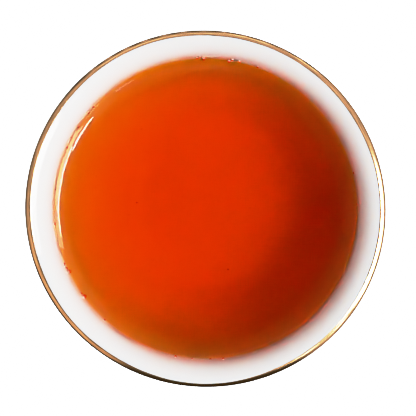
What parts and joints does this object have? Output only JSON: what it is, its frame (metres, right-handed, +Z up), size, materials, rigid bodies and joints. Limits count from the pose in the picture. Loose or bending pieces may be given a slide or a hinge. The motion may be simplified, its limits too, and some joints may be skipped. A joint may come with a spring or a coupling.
{
  "type": "porcelain cup of black tea",
  "caption": "Small handleless white porcelain tea cup with a flared lip, a fine gilt line on its rim and a foot ring, filled with clear red-orange black tea.",
  "frame": {"origin": "centre of the foot ring, on the surface that the cup stands on", "axes": "+Z up along the cup's turning axis; the mouth is very slightly oval, longest about 16 degrees clockwise from +X"},
  "size_m": [0.0804, 0.0796, 0.04],
  "materials": {
    "glazed_porcelain": "white porcelain under a clear gloss glaze",
    "black_tea": "clear red-orange liquid with a still surface",
    "gilt_line": "thin fired bronze-gold lustre, brushed on by hand"
  },
  "bodies": {
    "root": {"cup": "glazed_porcelain", "tea": "black_tea"}
  },
  "joints": []
}
